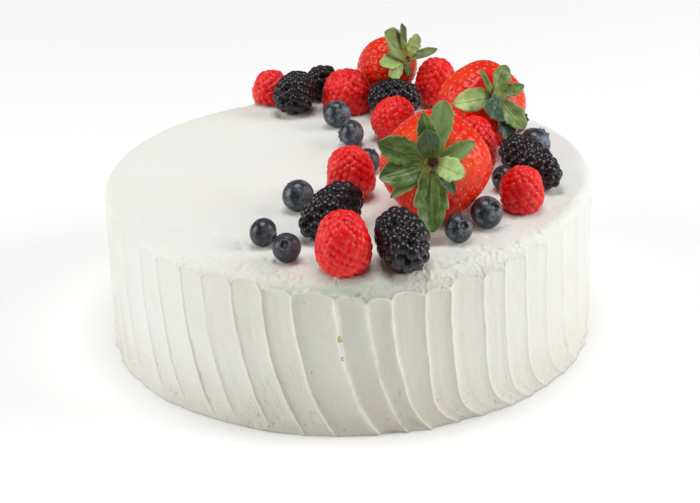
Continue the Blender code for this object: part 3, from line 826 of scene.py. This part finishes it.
def build_blueberries():
    skin = blueberry_material()
    angles = spaced(0, tau, BERRY_COLUMNS)
    for number, fruit in enumerate(BLUEBERRIES, 1):
        radius, half = fruit.radius * MM, 0.5 * fruit.length * MM
        rise = np.radians(np.linspace(-88, 58, BODY_RINGS))[:, None]
        flat = 1 - 0.05 * np.maximum(0, np.sin(rise)) ** 4
        rings = [*around(radius * np.cos(rise), half * np.sin(rise) * flat, angles)]
        lobes = 0.5 + 0.5 * np.cos(5 * angles + number)
        for reach, height, lobed, _ in CROWN_RINGS:
            rings.append(around(radius * (reach + lobed * lobes),
                                half * (height + lobed * (lobes - 0.4)), angles))
        points = np.concatenate(rings)
        lumps = uneven(points, ((1, 160, 31 * number), (0.4, 420, 17 * number)))
        points = points + unit(points) * (0.1 * MM * lumps)[:, None]
        points, faces = close_ends(points, BERRY_COLUMNS, (0, 0, -half), (0, 0, 0.76 * half))
        marks = [0] * BODY_RINGS + [mark for *_, mark in CROWN_RINGS]
        crown = np.append(np.repeat(marks, BERRY_COLUMNS), (0, 0.1))
        layers = {"crown": crown, "bloom": np.full(len(points), 1 - fruit.trait)}
        build_fruit("blueberry", number, fruit, 0.4 * MM, points, faces, [skin], layers)


# --- strawberries

SKIN_ROWS, SKIN_COLUMNS = 96, 170
LOBES = (3, 5, 4)  # of each strawberry
ACHENE_SPACING = (3.3, 3.5, 3.7)  # on each, in millimetres
ACHENE_SHARES = np.linspace(0.02, 0.93, 200)
ACHENE_DEPTH = 0.38 * MM
DIMPLE_DEPTH = 0.6 * MM
SWELL = 0.035
# A small pointed bead: its two tips and the ring of its waist, for a length of 1.
ACHENE = [(0, 0, 0.5), (0, 0, -0.55)] + [(0.34 * cos(a), 0.26 * sin(a), 0.06) for a in spaced(0, tau, 6)]
ACHENE_FACES = fan(2, 6, 0) + fan(2, 6, 1, outward=False)


def strawberry_radius(share):
    """Share of a strawberry's greatest radius, from its tip (0) to its calyx (1)."""
    low = np.sin(0.5 * pi * np.clip(share / WIDEST_SHARE, 0, 1)) ** 0.72
    high = np.cos(0.5 * pi * np.clip((share - WIDEST_SHARE) / (1 - WIDEST_SHARE), 0, 1)) ** 0.42
    return np.where(share < WIDEST_SHARE, low, high)


def skin_point(fruit, lobes, share, turn):
    """Points of a strawberry's skin at such shares of its length and turns."""
    swell = 1 + SWELL * np.cos(lobes * turn) * np.sin(pi * share)
    reach = fruit.radius * MM * strawberry_radius(share) * swell / (1 + SWELL)
    return around(reach, (share - WIDEST_SHARE) * fruit.length * MM, turn)


def achene_places(fruit, lobes, spacing, draw):
    """Share and turn of each achene, in staggered rows from the tip to the calyx."""
    line = skin_point(fruit, lobes, ACHENE_SHARES, 0)
    arc = np.cumsum([0, *np.linalg.norm(np.diff(line, axis=0), axis=1)])
    rows = round(arc[-1] / spacing)
    places = []
    for row in range(rows):
        share = float(np.interp((row + 0.5) / rows * arc[-1], arc, ACHENE_SHARES))
        girth = tau * fruit.radius * MM * float(strawberry_radius(share))
        count = max(3, round(girth / (1.12 * spacing)))
        for k in range(count):
            turn = tau * (k + 0.5 * (row % 2) + draw.uniform(-0.16, 0.16)) / count
            places.append((share + draw.uniform(-0.008, 0.008), turn))
    return places


def achene_bead(fruit, lobes, share, turn, length):
    """Corners of one achene, lying along the fruit in its dimple."""
    spot, ahead, aside = (Vector(skin_point(fruit, lobes, share + step, turn + twist))
                          for step, twist in ((0, 0), (0.01, 0), (0, 0.01)))
    up = (ahead - spot).normalized()
    outward = (aside - spot).cross(up).normalized()
    if outward.dot(Vector((spot.x, spot.y, 0))) < 0:
        outward = -outward
    lying = Matrix((outward.cross(up).normalized(), outward, up)).transposed()
    return [spot - ACHENE_DEPTH * outward + lying @ (length * Vector(corner)) for corner in ACHENE]


def build_strawberries():
    """Skins with their achenes in dimples; returns where each was set."""
    skin, seeds = strawberry_material(), achene_material()
    settled = []
    for number, (fruit, lobes, spacing) in enumerate(zip(STRAWBERRIES, LOBES, ACHENE_SPACING), 1):
        draw = random.Random(300 + number)
        places = achene_places(fruit, lobes, spacing * MM, draw)
        shares = 0.004 + (CROWN_SHARE - 0.004) * np.linspace(0, 1, SKIN_ROWS) ** 1.05
        points = skin_point(fruit, lobes, shares[:, None], spaced(0, tau, SKIN_COLUMNS)).reshape(-1, 3)
        outward = unit(points * (1, 1, 0.7) + (0, 0, 1e-6))
        dimple = np.zeros(len(points))
        for share, turn in places:
            gap = np.linalg.norm(points - skin_point(fruit, lobes, share, turn), axis=1)
            dimple = np.maximum(dimple, hump(gap, 0, 0.34 * spacing * MM))
        lumps = 0.25 * MM * (noise_at(points, 60, 40 + number) - 0.6)
        points = points + outward * (lumps - DIMPLE_DEPTH * dimple)[:, None]
        tip = (0, 0, -WIDEST_SHARE * fruit.length * MM)
        top = (0, 0, points[-SKIN_COLUMNS:, 2].mean() - 0.4 * MM)
        points, faces = close_ends(points, SKIN_COLUMNS, tip, top)
        corners, skin_faces = list(points), len(faces)
        for share, turn in places:
            faces += shifted(ACHENE_FACES, len(corners))
            corners += achene_bead(fruit, lobes, share, turn, draw.uniform(1.1, 1.5) * MM)
        share = np.append(np.repeat(shares, SKIN_COLUMNS), (0, CROWN_SHARE)) - fruit.trait
        on_beads = np.zeros(len(corners) - len(points))
        layers = {"share": np.append(share, on_beads), "dimple": np.append(dimple, (0, 0, *on_beads))}
        slots = [0] * skin_faces + [1] * (len(faces) - skin_faces)
        settled.append(build_fruit("strawberry", number, fruit, 0.4 * MM, corners, faces,
                                   [skin, seeds], layers, slots))
    return settled


# --- calyxes

LEAF_ROWS, LEAF_COLUMNS = 33, 11
LEAF_LONGER = 1.6  # a visible leaf reaches so much farther, in millimetres
TOOTHED = (0.3, 0.98)  # the stretch of a leaf's length that has teeth
SHEET_THICKNESS = 0.35 * MM
HUB_COLUMNS = 28
HUB_SIZES = (0.8, 0.95, 1.15)
# Rings of the hub, which is low and has a dark scar: reach, height and paleness.
HUB_RINGS = ((3.5, 0.25, 0), (3, 0.9, 0), (2.4, 1.2, 1), (1.9, 1.25, 0.8), (1.4, 0.8, 0.1),
             (0.6, 0.55, 0))


def leaf_grid(leaf, base, seed):
    """Points of one leaf, a grid along and across it."""
    draw = random.Random(seed)
    aim = Matrix.Rotation(-radians(leaf.around), 3, "Z")
    phase, swing = draw.uniform(0, 6), draw.uniform(-0.1, 0.1)
    power = log(0.42) / log(leaf.widest)
    points = []
    reach, rise = leaf.start * MM, OVER_HUB if leaf.start < 0 else 0
    step = (leaf.length + LEAF_LONGER) * MM / (LEAF_ROWS - 1)
    for row in range(LEAF_ROWS):
        share = row / (LEAF_ROWS - 1)
        if row:
            slope = radians(leaf.root_rise + (leaf.tip_rise - leaf.root_rise) * share)
            reach += step * cos(slope)
            rise += step * sin(slope)
        half = 0.5 * leaf.width * MM * sin(pi * min(0.14 + 0.86 * share ** power, 1)) ** 0.75
        if leaf.teeth and TOOTHED[0] < share < TOOTHED[1]:
            notch = (share - TOOTHED[0]) / (TOOTHED[1] - TOOTHED[0]) * (leaf.teeth + 1)
            half *= 0.88 + 0.22 * (notch - floor(notch))
        drift = swing * leaf.length * MM * share * share
        tilt = leaf.twist * (0.4 + 0.6 * share)
        swollen = 0.09 * leaf.width * MM * sin(pi * share)
        for column in range(LEAF_COLUMNS):
            v = 2 * column / (LEAF_COLUMNS - 1) - 1
            wave = 0.14 * half * sin(8 * share + phase + 1.3 * v) * v * abs(v)
            fold = leaf.fold * 0.55 * half * (hypot(v, 0.12) - 0.12) + 0.08 * half * v * v
            puff = noise.noise(Vector((5 * share, 1.6 * v, seed))) * swollen
            height = base + rise + fold + wave + puff + half * v * sin(tilt)
            points.append(aim @ Vector((half * v * cos(tilt) + drift, reach, height)))
    return points


def build_hub(number, base, green, scar):
    angles, size = spaced(0, tau, HUB_COLUMNS), HUB_SIZES[number - 1]
    ripple = 1 + 0.07 * np.sin(5 * angles + number) + 0.05 * np.sin(11 * angles)
    points = np.concatenate([around(size * reach * MM * ripple, base + size * height * MM, angles)
                             for reach, height, _ in HUB_RINGS])
    ends = (0, 0, base - 0.3 * MM), (0, 0, base + 0.5 * size * MM)
    points, faces = close_ends(points, HUB_COLUMNS, *ends)
    pale = np.append(np.repeat([light for _, _, light in HUB_RINGS], HUB_COLUMNS), (0, 0))
    ring_of = [[corner // HUB_COLUMNS for corner in face] for face in faces]
    dark = [int(max(rings) >= 3 and min(rings) >= 1) for rings in ring_of]
    layers = {"across": np.full(len(points), 0.6), "along": np.full(len(points), 0.1), "pale": pale}
    return build_mesh(f"calyx_hub_{number}", points, faces, [green, scar], layers, dark)


def build_calyx(number, leaves, fruit, place, green, scar):
    """A star of leaves and its hub, on a strawberry that was set at a place."""
    base = (CROWN_SHARE - WIDEST_SHARE) * fruit.length * MM + CALYX_RISE
    corners, faces = [], []
    for order, leaf in enumerate(leaves):
        faces += shifted(grid_faces(LEAF_ROWS, LEAF_COLUMNS, closed=False), len(corners))
        corners += leaf_grid(leaf, base + (order % 3) * 0.3 * MM, 500 + 20 * number + order)
    count = len(leaves)
    layers = {"across": np.tile(np.linspace(-1, 1, LEAF_COLUMNS), LEAF_ROWS * count),
              "along": np.tile(np.repeat(np.linspace(0, 1, LEAF_ROWS), LEAF_COLUMNS), count),
              "pale": np.repeat([leaf.pale for leaf in leaves], LEAF_ROWS * LEAF_COLUMNS)}
    star = build_mesh(f"calyx_leaves_{number}", corners, faces, [green], layers)
    sheet = star.modifiers.new("thickness", "SOLIDIFY")
    sheet.thickness = SHEET_THICKNESS
    sheet.offset = -1
    hub = build_hub(number, base, green, scar)
    for piece, node in ((star, f"calyx_{number}"), (hub, None)):
        piece.data.transform(axis_turn(fruit).to_4x4())
        piece.location = place
        fit_out(piece, node)


# --- crumbs

# Heading, height up the side, size across and up, and how far each crumb stands out.
CRUMBS = ((1.2, 63.6, 1.1, 0.6, -0.3), (-2.6, 44.8, 1, 1.4, 0.3), (-2.2, 36.2, 0.6, 1, 0),
          (-8.9, 29.6, 0.4, 0.4, -0.3), (0.8, 21, 0.5, 0.5, -0.3))
CRUMB_RINGS, CRUMB_COLUMNS = 7, 12


def build_crumbs():
    """A few crumbs of pistachio green caught in the cream."""
    corners, faces = [], []
    for number, (heading, height, wide, tall, out) in enumerate(CRUMBS):
        turn = Matrix.Rotation(radians(heading), 3, "Z")
        centre = Vector((0, INSIDE - out * MM - rim_radius(radians(heading)), height * MM))
        points = []
        for ring in range(1, CRUMB_RINGS):
            rise = pi * (ring / CRUMB_RINGS - 0.5)
            for angle in spaced(0, tau, CRUMB_COLUMNS):
                ball = Vector(around(cos(rise), sin(rise), angle))
                ball *= MM * (1 + 0.6 * noise.noise(ball * 1.7 + Vector((9 * number, 0, 0))))
                points.append(turn @ (centre + Vector((wide * ball.x, 0.55 * wide * ball.y, tall * ball.z))))
        pole = Vector((0, 0, tall * MM))
        ends = turn @ (centre - pole), turn @ (centre + pole)
        points, crumb_faces = close_ends(points, CRUMB_COLUMNS, *ends)
        faces += shifted(crumb_faces, len(corners))
        corners += list(points)
    crumbs = build_mesh("crumbs", corners, faces, [crumb_material()])
    fit_out(crumbs, None)


# --- studio

# Name, place, aim, size and power of each lamp.
LAMPS = (("left_softbox", (-1.25, -0.15, 0.65), (0, 0, 0.04), (0.7, 0.9), 9.3),
         ("right_softbox", (1.25, -0.1, 0.7), (0, 0, 0.04), (0.7, 0.9), 11),
         ("overhead", (0, 0, 1.5), (0, 0, 0.05), (0.7, 0.7), 10.3))
WORLD_STRENGTH = 0.16
FLOOR_SIZE = 12
FLOOR_DROP = 0.2 * MM
# The camera as solved from the ellipses of the rim and the base in the photograph.
CAMERA_PLACE = (0, -0.943323, 0.461131)
CAMERA_RIGHT = Vector((0.99965581, -0.01080048, -0.02390844))
CAMERA_UP = Vector((0.02623478, 0.41216268, 0.91073249))
FOCAL_LENGTH = 123.25


def build_floor():
    """A pale floor that glows with painted light, dimmer near the cake as a painted shadow."""
    bpy.ops.mesh.primitive_plane_add(size=FLOOR_SIZE, location=(0, 0, -FLOOR_DROP))
    ground = bpy.context.object
    ground.name = "floor"
    nodes = Nodes("studio_floor")
    color = nodes.mix(nodes.noise(3, 2), (0.93, 0.93, 0.93), (0.95, 0.95, 0.95))
    away = nodes.node("ShaderNodeVectorMath", {0: nodes.place}, "Value", operation="LENGTH")
    # Painted light: the floor glows, least near the cake, where that stands for its shadow.
    painted_floor_glow = nodes.ramp(away, 0.2, 1.6, 0.09, 0.35)
    skin = nodes.finish(Base_Color=color, Roughness=0.9, Emission_Color=(1, 1, 1), Emission_Strength=painted_floor_glow)
    ground.data.materials.append(skin)


def build_lights():
    """Even light from both sides and above, and a white world."""
    world = bpy.data.worlds.new("studio")
    world.use_nodes = True
    background = world.node_tree.nodes["Background"]
    background.inputs["Color"].default_value = (1, 1, 1, 1)
    background.inputs["Strength"].default_value = WORLD_STRENGTH
    bpy.context.scene.world = world
    for name, place, aim, size, power in LAMPS:
        lamp = bpy.data.lights.new(name, "AREA")
        lamp.shape = "RECTANGLE"
        lamp.size, lamp.size_y = size
        lamp.energy = power
        item = add_object(name, lamp)
        item.location = place
        item.rotation_euler = (Vector(aim) - Vector(place)).to_track_quat("-Z", "Y").to_euler()


def build_camera():
    lens = bpy.data.cameras.new("camera")
    lens.lens = FOCAL_LENGTH
    camera = add_object("camera", lens)
    turn = Matrix((CAMERA_RIGHT, CAMERA_UP, CAMERA_RIGHT.cross(CAMERA_UP))).transposed()
    camera.matrix_world = Matrix.Translation(CAMERA_PLACE) @ turn.to_4x4()
    bpy.context.scene.camera = camera
    bpy.context.scene.view_settings.view_transform = "Standard"


build_cream()
build_raspberries()
build_brambles()
build_blueberries()
GREEN, SCAR = leaf_material(), stem_material()
for count, spot in enumerate(build_strawberries(), 1):
    build_calyx(count, CALYXES[count - 1], STRAWBERRIES[count - 1], spot, GREEN, SCAR)
build_crumbs()
build_floor()
build_lights()
build_camera()
